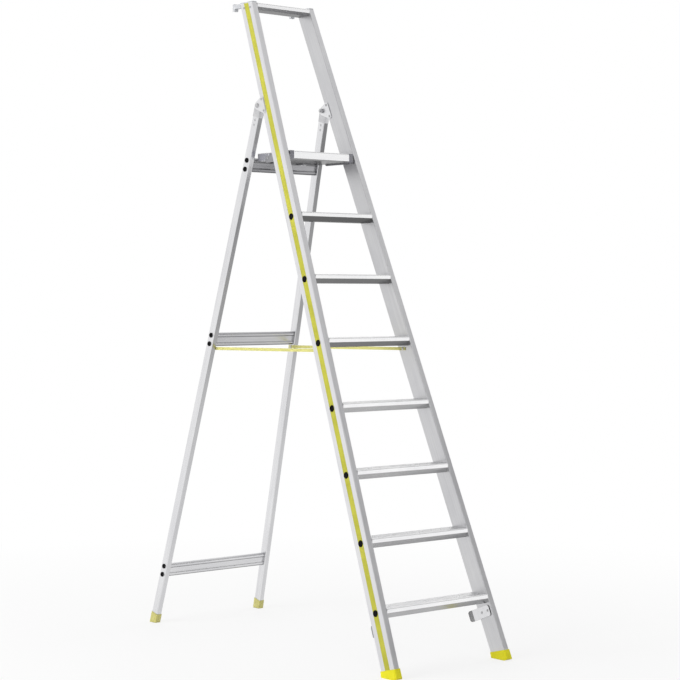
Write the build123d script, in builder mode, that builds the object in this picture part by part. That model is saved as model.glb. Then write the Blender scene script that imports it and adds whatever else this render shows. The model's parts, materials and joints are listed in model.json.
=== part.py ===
from build123d import *
import os
from math import cos, isclose, radians, sin, tan

# Platform stepladder, in millimetres and degrees. +Z is up, -Y the climbing side, +X the climber's right.
# The origin lies on the floor, midway between the two side faces and between the front and rear toes.

# Overall layout
tread_count = 7
step_rise = 240.0  # from one standing surface to the next
front_lean = 21.75  # stiles, from upright
rear_lean = 15.5  # rear legs, from upright
side_splay = 2.77  # stiles and legs, within the plane of their own frame
base_width = 577.0  # over the stiles at the floor
guard_height = 600.0  # top rail above the platform
hinge_rise = 185.0  # rear frame's hinge axis above the platform
upper_bar_drop = 44.0  # middle of the upper crossbar below the platform
middle_bar_height = 1182.0
lower_bar_height = 223.0

# Front stiles and their stripes
stile_width = 25.0
stile_depth = 75.0
stile_wall = 2.0
stile_corner = 3.5
stripe_width = 26.0
stripe_thickness = 0.8
stripe_fit = 0.3  # each side of the stripe in its groove

# Treads
tread_depth = 80.0
tread_height = 35.0
tread_wall = 2.2
tread_setback = 4.0  # middle of the tread behind its tube
tread_front_face = 16.0
tread_rear_face = 12.0
tread_undercut = 10.0
tread_nose = 4.0
groove_width = 2.4
groove_depth = 1.0
groove_pitch = 5.0
groove_margin = 8.0
tube_drop = 19.0  # tube axis below the standing surface
tube_diameter = 18.6
tube_wall = 2.0
tube_fit = 0.15  # all round the tube in the stile
bead_width = 1.5
bead_thickness = 1.0
plug_diameter = 25.0
plug_height = 3.0
plug_stem = 8.0
plug_slack = 0.8  # stem in its tube, all round

# Rear frame
leg_width = 23.0
leg_depth = 38.0
leg_wall = 1.8
leg_corner = 4.0
crossbar_depth = 20.0
crossbar_web = 13.0  # thickness between the tubes
crossbar_wall = 1.8
crossbar_tube = 16.0
crossbar_spacing = 36.0  # between the two tubes of a crossbar
crossbar_bead = 1.5
crossbar_plug = 20.0
fold_clearance = 0.5  # between the folded rear feet and the stiles

# Hinge
plate_thickness = 3.0
plate_overlap = 22.0  # hinge plate on the stile
plate_eye = 16.0
plate_foot = 10.0
plate_rivet_rise = 12.0
plate_rivet_drop = 38.0
pivot_diameter = 10.0
pivot_fit = 0.05
bolt_head_diameter = 19.0
bolt_head_height = 5.0
nut_across_flats = 17.0
nut_height = 9.0
knuckle_drop = 46.0  # pivot above the top of the leg
knuckle_insert = 42.0
knuckle_fit = 0.25
rivet_diameter = 6.0
rivet_fit = 0.05
rivet_head = 11.0
rivet_head_height = 2.4
head_taper = 35.0  # sides of a fastener's or plug's head
bolt_head_taper = 25.0
bolt_end = 2.5  # bolt beyond its nut
knuckle_rivet_pitch = 20.0

# Platform
rail_gap = 3.0  # platform rail to the stile
rail_thickness = 5.0
rail_height = 26.0
rail_lead = 34.0  # rail ahead of the platform's pivot
rail_reach = 126.0  # rail behind the platform's pivot
rail_drop = 4.0  # middle of the rail below the platform's pivot
pivot_drop = 21.5  # platform's pivot below its standing surface
deck_thickness = 33.0
deck_front_face = 29.0
deck_wall = 2.4
deck_chambers = 3
deck_rear_gap = 9.0  # deck to the upper crossbar
hook_spacing = 132.0
hook_width = 40.0
hook_thickness = 7.0
hook_clearance = 0.4
hook_lip = 16.0
hook_foot = 46.0
hook_plate = 4.0
hook_rivet_margin = 12.0  # first rivet ahead of the deck's rear edge
hook_rivet_pitch = 22.0
hook_release_angle = 35.0  # way off the crossbar, from upright
rail_corner = 6.0
pivot_head_diameter = 16.0
pivot_head_height = 6.0
pivot_slack = 0.5  # head off the rail
washer_diameter = 22.0
washer_thickness = 1.8
screw_diameter = 5.0
screw_head = 9.0
screw_head_height = 2.0
screw_length = 14.0

# Top rail, caps and horns
top_rail_height = 27.0
cap_thickness = 5.0
cap_insert = 16.0
cap_fit = 0.3
horn_reach = 52.0
horn_arm = 16.0
horn_drop = 2.5  # top of the arm below the cap's top
horn_root = 19.0  # rib on the cap, ahead of the stile's rear edge
horn_knob = 30.0
horn_knob_rise = 1.25  # knob above the cap's top
horn_tip = 13.0
horn_corner = 4.3
port_wall = 2.0
port_offset = 20.0

# Feet
front_sole = 12.0
front_foot_height = 30.0  # on the stripe's line
front_foot_tilt = 15.0  # collar, higher at the toe
front_foot_length = 87.0
front_foot_width = 34.0
front_foot_lead = 42.0  # toe ahead of the stripe's line at the floor
front_foot_toe = 20.0  # radius under the toe
front_collar_wall = 3.0
front_foot_corner = 7.0
rear_sole = 8.0
rear_foot_height = 42.0
rear_foot_wall = 2.0
rear_foot_corner = 5.0
foot_fit = 0.2
sole_groove_width = 4.0
sole_groove_depth = 2.0
sole_groove_count = 5

# Leg guides
guide_height = 42.0
guide_thickness = 3.0
guide_position = 186.0  # up the stile
guide_front = 27.0  # ahead of the stripe's line
guide_reach = 6.0  # straight part beyond the middle of the folded leg
guide_flare_length = 18.0
guide_flare_angle = 30.0
guide_rivet_margin = 11.0  # first rivet behind the plate's front edge
guide_rivet_pitch = 32.0
guide_corner = 9.0

# Straps
strap_width = 12.0
strap_thickness = 1.8
strap_gap = 3.0  # strap to the tread and crossbar above it
strap_end = 14.0  # beyond each screw
strap_clearance = 0.6
strap_corner = 3.0
strap_screw_head = 11.0
strap_front_offset = 12.0  # front screw behind the stripe's line

# Slopes and heights worked out from the layout
sin_front, cos_front = sin(radians(front_lean)), cos(radians(front_lean))
sin_rear, cos_rear = sin(radians(rear_lean)), cos(radians(rear_lean))
sin_splay, cos_splay, tan_splay = (f(radians(side_splay)) for f in (sin, cos, tan))
platform_height = (tread_count + 1) * step_rise
top_height = platform_height + guard_height
hinge_height = platform_height + hinge_rise
crossbar_heights = {
    "upper": platform_height - upper_bar_drop,
    "middle": middle_bar_height,
    "lower": lower_bar_height,
}
tube_radius = tube_diameter / 2
leg_inset = (stile_width - leg_width) / 2
pivot_radius = pivot_diameter / 2
nut_radius = nut_across_flats / 2 / cos(radians(30))  # over the corners
rivet_radius = rivet_diameter / 2
screw_radius = screw_diameter / 2

# The pivot lies so far behind the stiles that the rear feet just clear them when folded
pivot_back = stile_depth / 2 + leg_depth / 2 + rear_foot_wall + fold_clearance
pivot_slope = (hinge_height + pivot_back * sin_front) / cos_front
pivot_run = pivot_slope * sin_front + pivot_back * cos_front
stile_stock = 1.2 * (top_height + stile_depth) / cos_front  # raw lengths, before the ends are cut
leg_stock = 1.2 * hinge_height / cos_rear
rear_toe = (leg_depth / 2 + rear_foot_wall) / cos_rear
footprint = front_foot_lead + pivot_run + hinge_height * tan(radians(rear_lean)) + rear_toe
front_y = front_foot_lead - footprint / 2
pivot_y = front_y + pivot_run


# Places on the front frame: slope up the stiles from the floor, back square to them from the stripe
def front_point(x, slope, back):
    y = front_y + slope * sin_front + back * cos_front
    z = slope * cos_front - back * sin_front
    return Vector(x, y, z)


# Places on the rear frame: drop down the legs from the pivot, back square to them from their middle
def rear_point(x, drop, back):
    y = pivot_y + drop * sin_rear + back * cos_rear
    z = hinge_height - drop * cos_rear + back * sin_rear
    return Vector(x, y, z)


def stile_x(slope):
    return base_width / 2 - slope * tan_splay


def leg_x(drop):
    return stile_x(pivot_slope) + drop * tan_splay - leg_inset / cos_splay


front_normal = Vector(0, cos_front, -sin_front)
rear_normal = Vector(0, cos_rear, sin_rear)
stile_up = Vector(-sin_splay, cos_splay * sin_front, cos_splay * cos_front)
stile_out = Vector(cos_splay, sin_splay * sin_front, sin_splay * cos_front)
leg_up = Vector(-sin_splay, -cos_splay * sin_rear, cos_splay * cos_rear)
leg_out = Vector(cos_splay, -sin_splay * sin_rear, sin_splay * cos_rear)
front_plane = Plane(front_point(0, 0, 0), x_dir=(1, 0, 0), z_dir=(0, -cos_front, sin_front))
rear_plane = Plane(rear_point(0, 0, 0), x_dir=(1, 0, 0), z_dir=(0, -cos_rear, -sin_rear))
stile_plane = Plane(front_point(stile_x(0), 0, 0), x_dir=stile_out, z_dir=stile_up)
leg_plane = Plane(rear_point(leg_x(0), 0, 0), x_dir=leg_out, z_dir=leg_up)


# Planes on the side faces of the right stile and leg, looking outward, depth counted outward from the face
def stile_side(slope, back, depth=0.0):
    face = front_point(stile_x(slope), slope, back)
    return Plane(face + stile_out * depth, x_dir=front_normal, z_dir=stile_out)


def leg_side(drop, back, depth=0.0):
    face = rear_point(leg_x(drop), drop, back)
    return Plane(face + leg_out * depth, x_dir=rear_normal, z_dir=leg_out)


# The same places seen from the inside, looking inward
def facing_in(plane):
    return Plane(plane.origin, x_dir=plane.x_dir, z_dir=-plane.z_dir)


# Upright planes across the ladder: local x to the rear and y up (or up the legs)
def cross_plane(point, x_dir=(0, 1, 0)):
    return Plane(point, x_dir=x_dir, z_dir=(1, 0, 0))


def finish(name, builder):
    builder.part.label = name
    export_step(builder.part, f"parts/{name}.step")


# A right-hand piece is written with its mirror image as the left-hand one
def finish_pair(name, right):
    finish(f"right_{name}", right)
    with BuildPart() as left:
        mirror(right.part, about=Plane.YZ)
    finish(f"left_{name}", left)


# Headed fasteners: the head stands on its seat and the shank goes in behind it
def add_rivet(seat, shank_radius, shank_length, head_radius, head_height):
    with BuildSketch(seat) as head:
        Circle(head_radius)
    extrude(head.sketch, amount=head_height, taper=head_taper)
    with BuildSketch(seat) as shank:
        Circle(shank_radius)
    extrude(shank.sketch, amount=-shank_length)


def cut_holes(planes, radius, depth):
    for plane in planes:
        with BuildSketch(plane) as hole:
            Circle(radius)
        extrude(hole.sketch, amount=-depth, mode=Mode.SUBTRACT)


def cut_across(points, radius, reach=base_width):
    with BuildSketch(Plane.YZ) as holes:
        with Locations(*[(point.Y, point.Z) for point in points]):
            Circle(radius)
    extrude(holes.sketch, amount=reach, mode=Mode.SUBTRACT)


os.makedirs("parts", exist_ok=True)

# Tread tubes lie on the stripe's line; so do the platform's pivot and the reference of the top rail
tread_heights = [step_rise * step - tube_drop for step in range(1, tread_count + 1)]
tread_slopes = [height / cos_front for height in tread_heights]
platform_slope = (platform_height - pivot_drop) / cos_front
top_slope = (top_height - tube_drop) / cos_front
tread_centres = [front_point(0, slope, 0) for slope in tread_slopes]
crossbar_drops = {name: (hinge_height - height) / cos_rear for name, height in crossbar_heights.items()}
crossbar_tubes = [
    (drop + side * crossbar_spacing / 2) for drop in crossbar_drops.values() for side in (-1, 1)
]
hinge_point = rear_point(0, 0, 0)
platform_pivot = front_point(0, platform_slope, 0)
platform_inner_x = stile_x(platform_slope) - stile_width / cos_splay
plate_rivets = [
    (pivot_slope + plate_rivet_rise, stile_depth / 2 - plate_overlap / 2),
    (pivot_slope - plate_rivet_drop, stile_depth / 2 - plate_overlap / 2),
]
knuckle_rivets_drop = [
    knuckle_drop + knuckle_insert / 2 + side * knuckle_rivet_pitch / 2 for side in (-1, 1)
]
guide_rivets_back = [guide_rivet_margin - guide_front + number * guide_rivet_pitch for number in range(2)]
port_centres = [front_point(0, top_slope, 0) + Vector(0, side * port_offset, 0) for side in (-1, 1)]
strap_tread = round(middle_bar_height / step_rise)  # the tread nearest to the middle crossbar's level
strap_front_slope = tread_slopes[strap_tread - 1] - (
    tread_height - tube_drop + strap_gap + strap_width / 2
)
strap_rear_drop = crossbar_drops["middle"] + (
    crossbar_spacing / 2 + crossbar_depth / 2 + strap_gap + strap_width / 2
)


# The space between two facing splayed walls, as a wedge that trims what fits between them
def wedge(plane, half_width_low, half_width_high, low, high):
    with BuildPart() as space:
        with BuildSketch(plane):
            with BuildLine():
                Polyline(
                    (-half_width_low, low),
                    (half_width_low, low),
                    (half_width_high, high),
                    (-half_width_high, high),
                    close=True,
                )
            make_face()
        extrude(amount=top_height / 2, both=True)
    return space.part


def stile_space(depth):
    low, high = -step_rise, stile_stock
    offset_x = depth / cos_splay
    return wedge(front_plane, stile_x(low) + offset_x, stile_x(high) + offset_x, low, high)


def leg_space(depth):
    low, high = -leg_stock, step_rise
    offset_x = depth / cos_splay
    return wedge(rear_plane, leg_x(-low) + offset_x, leg_x(-high) + offset_x, low, high)


# Stile sections, grown all round by a fit where something slips over them
def draw_stile_section(grow=0.0):
    with Locations((-stile_width / 2, 0)):
        RectangleRounded(stile_width + 2 * grow, stile_depth + 2 * grow, stile_corner + grow)


def draw_leg_section(grow=0.0):
    with Locations((-leg_width / 2, 0)):
        RectangleRounded(leg_width + 2 * grow, leg_depth + 2 * grow, leg_corner + grow)


# The top of a front foot's collar, tilted between level and square to the stile
collar_slope = front_foot_height / cos_front
collar_plane = Plane(
    front_point(stile_x(collar_slope) - stile_width / 2, collar_slope, 0),
    x_dir=(1, 0, 0),
    z_dir=(0, sin(radians(front_foot_tilt)), cos(radians(front_foot_tilt))),
)

# Front stiles: box extrusions cut level at both ends
with BuildPart() as front_stile:
    with BuildSketch(stile_plane.offset(-stile_depth)):
        draw_stile_section()
        with Locations((-stile_width / 2, 0)):
            RectangleRounded(
                stile_width - 2 * stile_wall,
                stile_depth - 2 * stile_wall,
                stile_corner - stile_wall,
                mode=Mode.SUBTRACT,
            )
        Rectangle(2 * stripe_thickness, stripe_width + 2 * stripe_fit, mode=Mode.SUBTRACT)
    extrude(amount=stile_stock)
    split(bisect_by=Plane.XY.offset(front_sole), keep=Keep.TOP)
    split(bisect_by=Plane.XY.offset(top_height), keep=Keep.BOTTOM)
    cut_across(tread_centres, tube_radius + tube_fit)
    cut_holes([stile_side(*place) for place in plate_rivets], rivet_radius + rivet_fit, 2 * stile_width)
    cut_holes(
        [stile_side(guide_position, back, stile_wall - stile_width) for back in guide_rivets_back],
        rivet_radius + rivet_fit,
        2 * stile_wall,
    )
    cut_holes(
        [stile_side(strap_front_slope, strap_front_offset, stile_wall - stile_width)],
        screw_radius + rivet_fit,
        2 * stile_wall,
    )
    cut_across([platform_pivot], pivot_radius + pivot_fit, platform_inner_x + 3 * stile_wall)
    cut_across(port_centres, screw_radius + rivet_fit)
finish_pair("front_stile", front_stile)

# Yellow stripes in the grooves of the stiles
with BuildPart() as stripe:
    with BuildSketch(stile_plane.offset(-stile_depth)):
        with Locations((-stripe_thickness / 2, 0)):
            Rectangle(stripe_thickness, stripe_width)
    extrude(amount=stile_stock)
    split(bisect_by=collar_plane.offset(foot_fit), keep=Keep.TOP)
    split(bisect_by=Plane.XY.offset(top_height), keep=Keep.BOTTOM)
    cut_across(tread_centres, tube_radius + bead_width + stripe_fit)
finish_pair("stripe", stripe)


# Treads: hollow extrusions with a grooved top, an undercut nose and a tube that holds them in the stiles
def draw_tread_shell(section, height):
    front = tread_setback - tread_depth / 2
    rear = tread_setback + tread_depth / 2
    bottom = tube_drop - height
    with BuildLine() as outline:
        Polyline(
            (front, tube_drop),
            (rear, tube_drop),
            (rear, tube_drop - tread_rear_face),
            (rear - tread_undercut, bottom),
            (front + tread_undercut, bottom),
            (front, tube_drop - tread_front_face),
            close=True,
        )
    make_face(outline.edges())
    fillet(section.vertices().group_by(Axis.Y)[-1], tread_nose)
    offset(amount=-tread_wall, mode=Mode.SUBTRACT)
    groove_count = int((tread_depth - 2 * groove_margin) / groove_pitch) + 1
    with Locations((tread_setback, tube_drop)):
        with GridLocations(groove_pitch, groove_pitch, groove_count, 1):
            Rectangle(groove_width, 2 * groove_depth, mode=Mode.SUBTRACT)


stile_gap = stile_space(-stile_width)
stile_grooves = stile_space(-stripe_thickness)
stile_beads = stile_space(bead_thickness - stripe_thickness)

for step, centre in enumerate(tread_centres, start=1):
    with BuildPart() as beads:
        with BuildSketch(cross_plane(centre)):
            Circle(tube_radius + bead_width)
        extrude(amount=base_width, both=True)
        add(stile_grooves, mode=Mode.SUBTRACT)

    with BuildPart() as tube:
        with BuildSketch(cross_plane(centre)):
            Circle(tube_radius)
        extrude(amount=base_width, both=True)
        add(beads.part)
        add(stile_beads, mode=Mode.INTERSECT)

    with BuildPart() as tread:
        with BuildSketch(cross_plane(centre)) as section:
            draw_tread_shell(section, tread_height)
            with Locations((0, tube_drop - tread_height / 2)):
                Rectangle(tread_wall, tread_height - 2 * groove_depth)
        extrude(amount=base_width, both=True)
        add(stile_gap, mode=Mode.INTERSECT)
        add(tube.part)
        with BuildSketch(cross_plane(centre)):
            Circle(tube_radius - tube_wall)
        extrude(amount=base_width, both=True, mode=Mode.SUBTRACT)
    finish(f"tread_{step}", tread)

# Black plugs that close the tread tubes
with BuildPart() as tread_plugs:
    for slope in tread_slopes:
        add_rivet(
            stile_side(slope, 0, bead_thickness - stripe_thickness),
            tube_radius - tube_wall - plug_slack,
            plug_stem,
            plug_diameter / 2,
            plug_height,
        )
    mirror(about=Plane.YZ)
finish("tread_plugs", tread_plugs)

# Top rail: the same shell, with two screw ports in place of the tube
with BuildPart() as top_rail:
    with BuildSketch(cross_plane(front_point(0, top_slope, 0))) as section:
        draw_tread_shell(section, top_rail_height)
        for side in (-1, 1):
            with Locations((side * port_offset, tube_drop - top_rail_height / 2)):
                Rectangle(tread_wall, top_rail_height - 2 * groove_depth)
            with Locations((side * port_offset, 0)):
                Circle(screw_radius + port_wall)
                Circle(screw_radius + rivet_fit, mode=Mode.SUBTRACT)
    extrude(amount=base_width, both=True)
    add(stile_gap, mode=Mode.INTERSECT)
finish("top_rail", top_rail)

with BuildPart() as top_rail_screws:
    for port in port_centres:
        slope = (port.Y - front_y) * sin_front + port.Z * cos_front
        head_x = stile_x(slope) + screw_head / 2 * tan_splay
        add_rivet(
            cross_plane((head_x, port.Y, port.Z)),
            screw_radius,
            stile_width + screw_length,
            screw_head / 2,
            screw_head_height,
        )
    mirror(about=Plane.YZ)
finish("top_rail_screws", top_rail_screws)

# Caps on the stile tops: a plate with a plug inside the stile and a horn to the rear
cap_centre = front_point(stile_x(top_slope), top_height / cos_front, 0)
cap_rear = stile_depth / 2 / cos_front
with BuildPart() as top_cap:
    with BuildSketch(stile_plane):
        draw_stile_section()
    extrude(amount=stile_stock)
    split(bisect_by=Plane.XY.offset(top_height), keep=Keep.TOP)
    split(bisect_by=Plane.XY.offset(top_height + cap_thickness), keep=Keep.BOTTOM)
    horn_middle = stile_x(top_height / cos_front) - stile_width / 2
    with BuildSketch(cross_plane((horn_middle, cap_centre.Y, top_height + cap_thickness))):
        with Locations((cap_rear + horn_reach / 2, -horn_drop - horn_arm / 2)):
            Rectangle(horn_reach, horn_arm)
        with Locations((cap_rear + horn_reach - horn_tip / 2, horn_knob_rise - horn_knob / 2)):
            RectangleRounded(horn_tip, horn_knob, horn_corner)
        with Locations((cap_rear - horn_root / 2, -cap_thickness / 2)):
            Rectangle(horn_root, cap_thickness)
    extrude(amount=stile_width / 2 - stile_corner, both=True)
with BuildPart() as cap_plug:
    with BuildSketch(stile_plane):
        with Locations((-stile_width / 2, 0)):
            RectangleRounded(
                stile_width - 2 * stile_wall - 2 * cap_fit,
                stile_depth - 2 * stile_wall - 2 * cap_fit,
                stile_corner - stile_wall,
            )
    extrude(amount=stile_stock)
    split(bisect_by=Plane.XY.offset(top_height - cap_insert), keep=Keep.TOP)
    split(bisect_by=Plane.XY.offset(top_height + cap_thickness / 2), keep=Keep.BOTTOM)
    cut_across(port_centres, screw_radius + cap_fit)
with BuildPart() as whole_cap:
    add(top_cap.part)
    add(cap_plug.part)
finish_pair("top_cap", whole_cap)


# Feet: shoes moulded around the ends of the stiles and legs, with grooved soles
def cut_sole_grooves(middle_x, middle_y, length):
    with BuildSketch(Plane.XY) as grooves:
        with Locations((middle_x, middle_y)):
            with GridLocations(length, length / sole_groove_count, 1, sole_groove_count):
                Rectangle(base_width, sole_groove_width)
    extrude(grooves.sketch, amount=sole_groove_depth, mode=Mode.SUBTRACT)


foot_x = stile_x(0) - stile_width / 2
front_toe = front_y - front_foot_lead
toe_middle = front_toe + front_foot_length / 2
with BuildPart() as stile_end:
    with BuildSketch(stile_plane.offset(-stile_depth)):
        draw_stile_section(foot_fit)
    extrude(amount=stile_stock)
    split(bisect_by=Plane.XY.offset(front_sole), keep=Keep.TOP)
with BuildPart() as front_foot:
    with BuildSketch(Plane.XY):
        with Locations((foot_x, toe_middle)):
            RectangleRounded(front_foot_width, front_foot_length, front_foot_corner)
    with BuildSketch(collar_plane):
        RectangleRounded(
            stile_width + 2 * front_collar_wall,
            stile_depth / cos(radians(front_lean - front_foot_tilt)) + 2 * front_collar_wall,
            front_foot_corner,
        )
    loft()
    with BuildSketch(cross_plane((foot_x, front_toe, 0))) as side_view:
        Rectangle(2 * front_foot_length, 2 * front_foot_length, align=(Align.MIN, Align.MIN))
        fillet(side_view.vertices().group_by(Axis.Y)[0].sort_by(Axis.X)[0], front_foot_toe)
    extrude(amount=front_foot_width, both=True, mode=Mode.INTERSECT)
    add(stile_end.part, mode=Mode.SUBTRACT)
    cut_sole_grooves(foot_x, toe_middle, front_foot_length)
finish_pair("front_foot", front_foot)

# Rear legs: box extrusions from the knuckle down to the foot
with BuildPart() as rear_leg:
    with BuildSketch(leg_plane.offset(-knuckle_drop)):
        draw_leg_section()
        with Locations((-leg_width / 2, 0)):
            RectangleRounded(
                leg_width - 2 * leg_wall,
                leg_depth - 2 * leg_wall,
                leg_corner - leg_wall,
                mode=Mode.SUBTRACT,
            )
    extrude(amount=-leg_stock)
    split(bisect_by=Plane.XY.offset(rear_sole), keep=Keep.TOP)
    cut_across([rear_point(0, drop, 0) for drop in crossbar_tubes], crossbar_tube / 2 + tube_fit)
    cut_holes([leg_side(drop, 0) for drop in knuckle_rivets_drop], rivet_radius + rivet_fit, 2 * leg_width)
    cut_holes([leg_side(strap_rear_drop, 0, leg_wall - leg_width)], screw_radius + rivet_fit, 2 * leg_wall)
finish_pair("rear_leg", rear_leg)

# Rear feet: caps over the ends of the legs
with BuildPart() as leg_end:
    with BuildSketch(leg_plane.offset(-knuckle_drop)):
        draw_leg_section(foot_fit)
    extrude(amount=-leg_stock)
    split(bisect_by=Plane.XY.offset(rear_sole), keep=Keep.TOP)
rear_foot_drop = hinge_height / cos_rear
with BuildPart() as rear_foot:
    with BuildSketch(leg_plane.offset(-(rear_foot_drop - rear_foot_height) / cos_splay)):
        with Locations((-leg_width / 2, 0)):
            RectangleRounded(
                leg_width + 2 * rear_foot_wall,
                leg_depth + 2 * rear_foot_wall,
                rear_foot_corner,
            )
    extrude(amount=-2 * rear_foot_height)
    split(bisect_by=Plane.XY, keep=Keep.TOP)
    add(leg_end.part, mode=Mode.SUBTRACT)
    cut_sole_grooves(leg_x(rear_foot_drop), rear_point(0, rear_foot_drop, 0).Y, 2 * rear_toe)
finish_pair("rear_foot", rear_foot)

# Knuckles: die-cast eyes that plug into the tops of the legs and turn on the hinge bolts
with BuildPart() as leg_knuckle:
    with BuildSketch(leg_side(0, 0)):
        Circle(leg_depth / 2)
        with Locations((0, -knuckle_drop / 2)):
            Rectangle(leg_depth, knuckle_drop)
    extrude(amount=-leg_width)
    with BuildSketch(leg_plane.offset(-knuckle_drop)):
        with Locations((-leg_width / 2, 0)):
            RectangleRounded(
                leg_width - 2 * leg_wall - 2 * knuckle_fit,
                leg_depth - 2 * leg_wall - 2 * knuckle_fit,
                leg_corner - leg_wall,
            )
    extrude(amount=-knuckle_insert)
    cut_across([hinge_point], pivot_radius + pivot_fit)
    cut_holes([leg_side(drop, 0) for drop in knuckle_rivets_drop], rivet_radius + rivet_fit, 2 * leg_width)
finish_pair("leg_knuckle", leg_knuckle)

with BuildPart() as knuckle_rivets:
    for drop in knuckle_rivets_drop:
        add_rivet(leg_side(drop, 0), rivet_radius, leg_width, rivet_head / 2, leg_inset / 2)
        add_rivet(
            facing_in(leg_side(drop, 0, -leg_width)), rivet_radius, leg_wall, rivet_head / 2, leg_inset / 2
        )
    mirror(about=Plane.YZ)
finish("knuckle_rivets", knuckle_rivets)

# Crossbars: twin-tube extrusions between the legs, their tubes flanged outside
leg_gap = leg_space(-leg_width)
leg_faces = leg_space(0)
leg_beads = leg_space(bead_thickness)
for name, drop in crossbar_drops.items():
    bar_plane = cross_plane(rear_point(0, drop, 0), x_dir=rear_normal)
    tube_places = [(0, crossbar_spacing / 2), (0, -crossbar_spacing / 2)]

    with BuildPart() as bar_beads:
        with BuildSketch(bar_plane):
            with Locations(*tube_places):
                Circle(crossbar_tube / 2 + crossbar_bead)
        extrude(amount=base_width, both=True)
        add(leg_faces, mode=Mode.SUBTRACT)

    with BuildPart() as bar_tubes:
        with BuildSketch(bar_plane):
            with Locations(*tube_places):
                Circle(crossbar_tube / 2)
        extrude(amount=base_width, both=True)
        add(bar_beads.part)
        add(leg_beads, mode=Mode.INTERSECT)

    with BuildPart() as crossbar:
        with BuildSketch(bar_plane):
            Rectangle(crossbar_web, crossbar_spacing)
            with Locations(*tube_places):
                Circle(crossbar_depth / 2)
            Rectangle(
                crossbar_web - 2 * crossbar_wall,
                crossbar_spacing - crossbar_tube - 2 * crossbar_wall,
                mode=Mode.SUBTRACT,
            )
        extrude(amount=base_width, both=True)
        add(leg_gap, mode=Mode.INTERSECT)
        add(bar_tubes.part)
        with BuildSketch(bar_plane):
            with Locations(*tube_places):
                Circle(crossbar_tube / 2 - crossbar_wall)
        extrude(amount=base_width, both=True, mode=Mode.SUBTRACT)
    finish(f"{name}_crossbar", crossbar)

with BuildPart() as crossbar_plugs:
    for drop in crossbar_tubes:
        add_rivet(
            leg_side(drop, 0, bead_thickness),
            crossbar_tube / 2 - crossbar_wall - plug_slack,
            plug_stem,
            crossbar_plug / 2,
            plug_height,
        )
    mirror(about=Plane.YZ)
finish("crossbar_plugs", crossbar_plugs)


# Hinge plates: rounded cheeks riveted to both sides of each stile, with an eye behind it
def draw_hinge_plate():
    with BuildLine() as eyes:
        CenterArc((0, 0), plate_eye, 0, 360)
        for slope, back in plate_rivets:
            CenterArc((back - pivot_back, (slope - pivot_slope) / cos_splay), plate_foot, 0, 360)
    make_hull(eyes.edges())


with BuildPart() as hinge_outer_plate:
    with BuildSketch(stile_side(pivot_slope, pivot_back)):
        draw_hinge_plate()
    extrude(amount=plate_thickness)
    cut_across([hinge_point], pivot_radius + pivot_fit)
    cut_holes(
        [stile_side(*place, plate_thickness) for place in plate_rivets],
        rivet_radius + rivet_fit,
        2 * stile_width,
    )
finish_pair("hinge_outer_plate", hinge_outer_plate)

with BuildPart() as hinge_inner_plate:
    with BuildSketch(stile_side(pivot_slope, pivot_back, -stile_width)):
        draw_hinge_plate()
    extrude(amount=-plate_thickness)
    cut_across([hinge_point], pivot_radius + pivot_fit)
    cut_holes([stile_side(*place) for place in plate_rivets], rivet_radius + rivet_fit, 2 * stile_width)
finish_pair("hinge_inner_plate", hinge_inner_plate)

with BuildPart() as hinge_rivets:
    for place in plate_rivets:
        shank = stile_width + 2 * plate_thickness
        add_rivet(
            stile_side(*place, plate_thickness), rivet_radius, shank, rivet_head / 2, rivet_head_height
        )
        add_rivet(
            facing_in(stile_side(*place, -stile_width - plate_thickness)),
            rivet_radius,
            plate_thickness,
            rivet_head / 2,
            rivet_head_height,
        )
    mirror(about=Plane.YZ)
finish("hinge_rivets", hinge_rivets)

# Hinge bolts lie along the hinge axis, square to the ladder's middle
head_seat = stile_x(pivot_slope) + plate_thickness / cos_splay + bolt_head_diameter / 2 * tan_splay
nut_seat = stile_x(pivot_slope) - (stile_width + plate_thickness) / cos_splay - nut_radius * tan_splay
with BuildPart() as hinge_bolt:
    with BuildSketch(cross_plane((head_seat, hinge_point.Y, hinge_point.Z))):
        Circle(bolt_head_diameter / 2)
    extrude(amount=bolt_head_height, taper=bolt_head_taper)
    with BuildSketch(cross_plane((head_seat, hinge_point.Y, hinge_point.Z))):
        Circle(pivot_radius)
    extrude(amount=nut_seat - head_seat - nut_height - bolt_end)
finish_pair("hinge_bolt", hinge_bolt)

with BuildPart() as hinge_nuts:
    with BuildSketch(cross_plane((nut_seat, hinge_point.Y, hinge_point.Z))):
        RegularPolygon(nut_across_flats / 2, 6, major_radius=False)
        Circle(pivot_radius + pivot_fit, mode=Mode.SUBTRACT)
    extrude(amount=-nut_height)
    mirror(about=Plane.YZ)
finish("hinge_nuts", hinge_nuts)

# Leg guides: bent plates on the inner faces of the stiles, flared inward at their tips
guide_straight = pivot_back + guide_reach
flare_back = guide_flare_length * cos(radians(guide_flare_angle))
flare_in = guide_flare_length * sin(radians(guide_flare_angle))
guide_foot = stile_side(guide_position - guide_height / 2, 0, -stile_width)
guide_base = Plane(guide_foot.origin, x_dir=front_normal, z_dir=stile_up)
with BuildPart() as guide_bracket:
    with BuildSketch(guide_base):
        with BuildLine() as bend:
            Polyline(
                (-guide_front, 0),
                (guide_straight, 0),
                (guide_straight + flare_back, flare_in),
            )
            offset(amount=guide_thickness, side=Side.LEFT)
        make_face()
    extrude(amount=guide_height)
    tips = guide_bracket.edges().filter_by(lambda edge: isclose(edge.length, guide_thickness))
    fillet(tips, guide_corner)
    cut_holes(
        [stile_side(guide_position, back) for back in guide_rivets_back],
        rivet_radius + rivet_fit,
        2 * stile_width,
    )
finish_pair("guide_bracket", guide_bracket)

with BuildPart() as guide_rivets:
    for back in guide_rivets_back:
        add_rivet(
            facing_in(stile_side(guide_position, back, -stile_width - guide_thickness)),
            rivet_radius,
            guide_thickness + 2 * stile_wall,
            rivet_head / 2,
            rivet_head_height,
        )
    mirror(about=Plane.YZ)
finish("guide_rivets", guide_rivets)

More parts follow.
